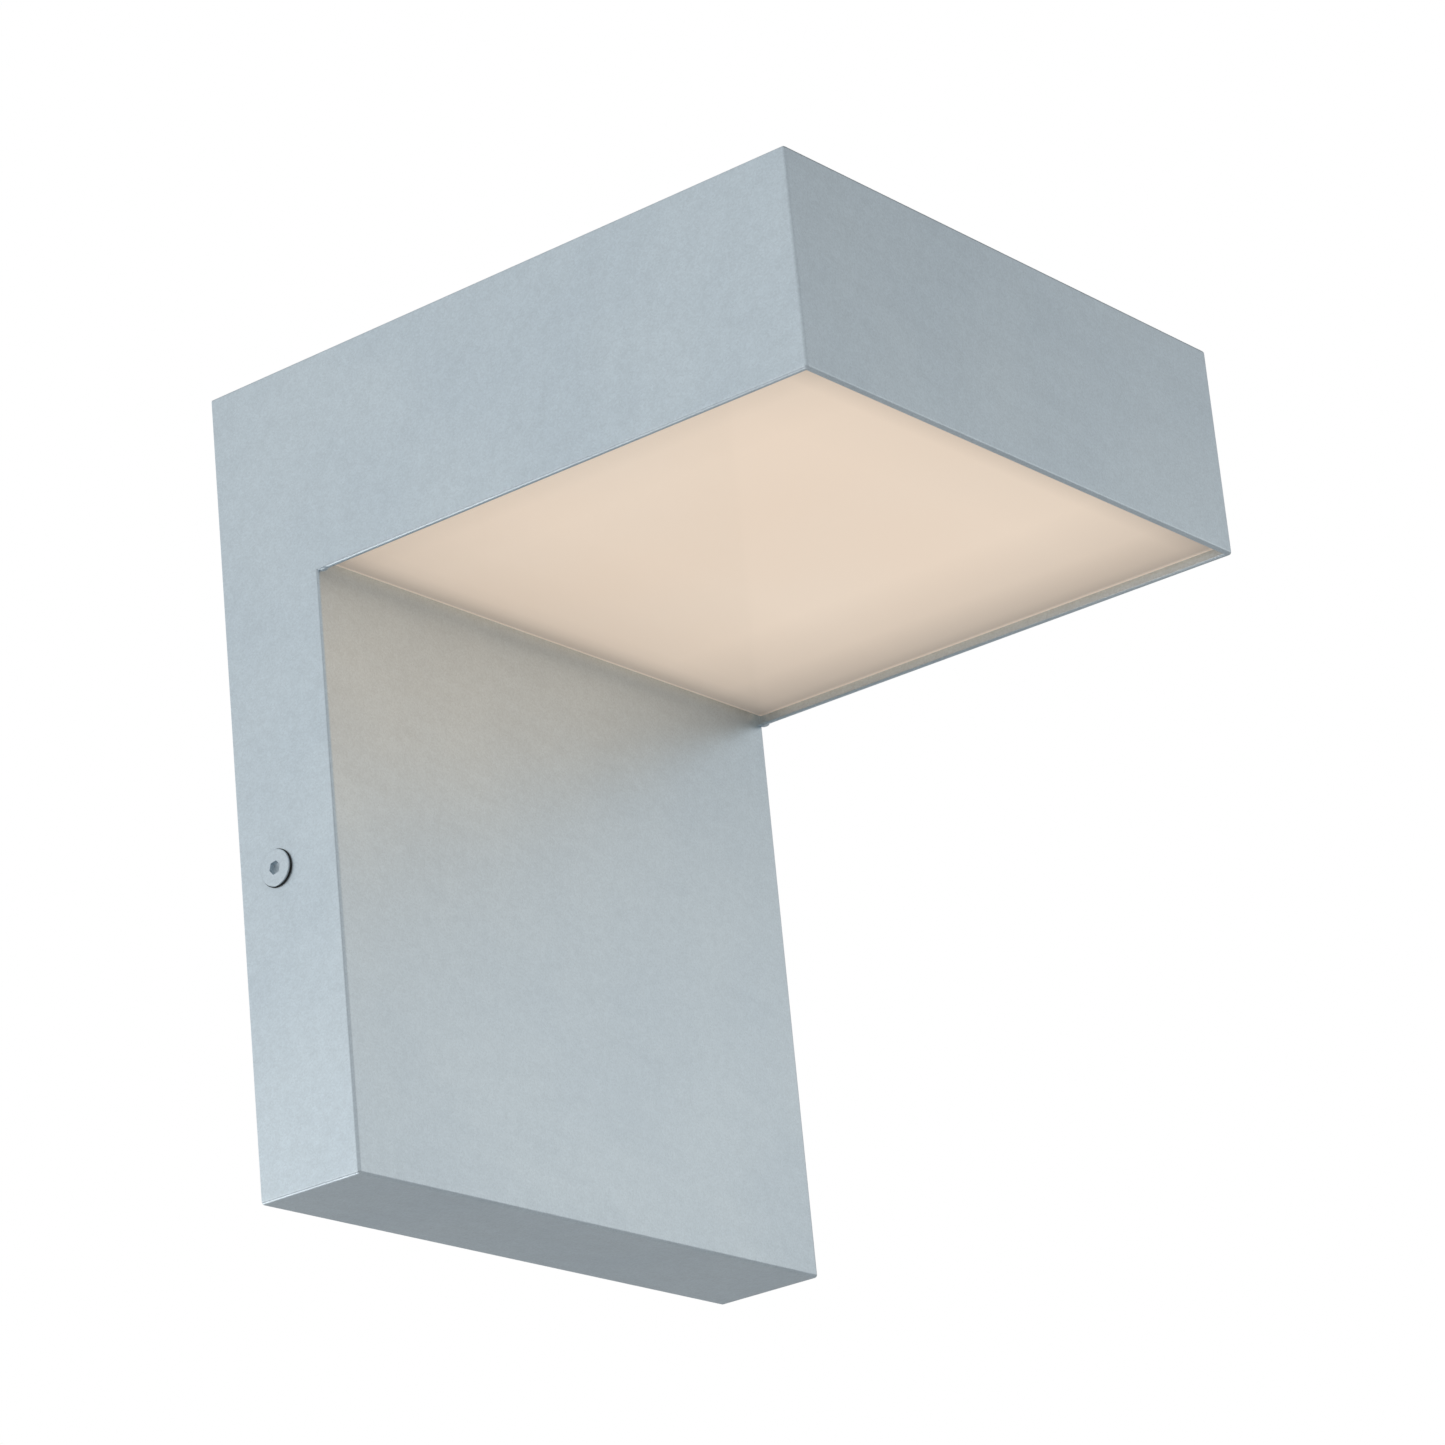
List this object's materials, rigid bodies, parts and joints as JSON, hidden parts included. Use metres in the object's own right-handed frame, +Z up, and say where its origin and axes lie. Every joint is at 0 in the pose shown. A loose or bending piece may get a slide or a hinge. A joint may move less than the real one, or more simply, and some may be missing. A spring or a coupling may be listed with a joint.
{
  "type": "outdoor wall lantern",
  "caption": "Square LED wall lantern in painted sheet metal, an upside-down L with an opal lens recessed under its head, held to a wall bracket by two side screws.",
  "frame": {"origin": "on the wall plane, at the centre of the bracket's wire hole, level with the side screws", "axes": "+X to the right of someone who faces the wall, +Y into the wall, +Z up; the head points along -Y"},
  "size_m": [0.1718, 0.178, 0.203],
  "materials": {
    "silver_paint": "satin silver paint with a fine flake on aluminium sheet",
    "painted_screw": "satin silver paint on a steel screw",
    "opal_acrylic": "glossy opal acrylic, lit from inside",
    "black_rubber": "matt black",
    "white_steel": "matt white reflector paint",
    "zinc_steel": "bright zinc plate",
    "grey_pad": "soft grey silicone",
    "white_board": "white solder mask",
    "phosphor": "yellow phosphor",
    "white_plastic": "moulded",
    "green_board": "green solder mask",
    "ferrite": "ferrite with yellow tape",
    "capacitor_sleeve": "shrink sleeve",
    "brass": "plain",
    "galvanised_steel": "zinc spangle",
    "grey_foam": "closed-cell foam",
    "tinned_copper": "tinned",
    "green_steel": "green zinc",
    "red_pvc": "insulation",
    "black_pvc": "insulation",
    "white_pvc": "insulation",
    "green_pvc": "insulation"
  },
  "bodies": {
    "fixture": {"board_screws": "zinc_steel", "bracket_gasket": "grey_foam", "driver_board": "green_board", "driver_capacitors": "capacitor_sleeve", "driver_case": "white_plastic", "driver_lid": "white_plastic", "driver_plugs": "white_plastic", "driver_transformer": "ferrite", "earth_lead": "green_pvc", "earth_nut": "zinc_steel", "earth_ring_terminals": "tinned_copper", "earth_screw": "green_steel", "earth_stud": "zinc_steel", "housing": "silver_paint", "lead_clips": "white_plastic", "led_board": "white_board", "led_chips": "phosphor", "led_connector": "white_plastic", "led_lead_black": "black_pvc", "led_lead_red": "red_pvc", "led_tray": "white_steel", "lens": "opal_acrylic", "lens_gasket": "black_rubber", "lip_trim": "black_rubber", "live_lead": "black_pvc", "mounting_nuts": "zinc_steel", "mounting_studs": "zinc_steel", "neutral_lead": "white_pvc", "tab_nuts": "zinc_steel", "terminal_block": "white_plastic", "terminal_screws": "brass", "thermal_pad": "grey_pad", "tray_grommet": "black_rubber", "tray_screws": "zinc_steel", "tray_standoffs": "zinc_steel", "wall_bracket": "galvanised_steel"},
    "left_washer": {"left_washer": "black_rubber"},
    "left_screw": {"left_screw": "painted_screw"},
    "right_washer": {"right_washer": "black_rubber"},
    "right_screw": {"right_screw": "painted_screw"}
  },
  "joints": [
    {"name": "left_screw_travel", "type": "slide", "parent": "fixture", "child": "left_washer", "axis": [-1, 0, 0], "range_m": [0, 0.0092]},
    {"name": "left_screw_turn", "type": "hinge", "parent": "left_washer", "child": "left_screw", "pos_m": [-0.0859, -0.0115, 0], "axis": [-1, 0, 0], "range_deg": [0, 4141]},
    {"name": "right_screw_travel", "type": "slide", "parent": "fixture", "child": "right_washer", "axis": [1, 0, 0], "range_m": [0, 0.0092]},
    {"name": "right_screw_turn", "type": "hinge", "parent": "right_washer", "child": "right_screw", "pos_m": [0.0859, -0.0115, 0], "axis": [1, 0, 0], "range_deg": [0, 4141]}
  ],
  "couplings": [
    {"joint": "left_screw_turn", "follows": "left_screw_travel", "rad_per_m": 7854},
    {"joint": "right_screw_turn", "follows": "right_screw_travel", "rad_per_m": 7854}
  ]
}
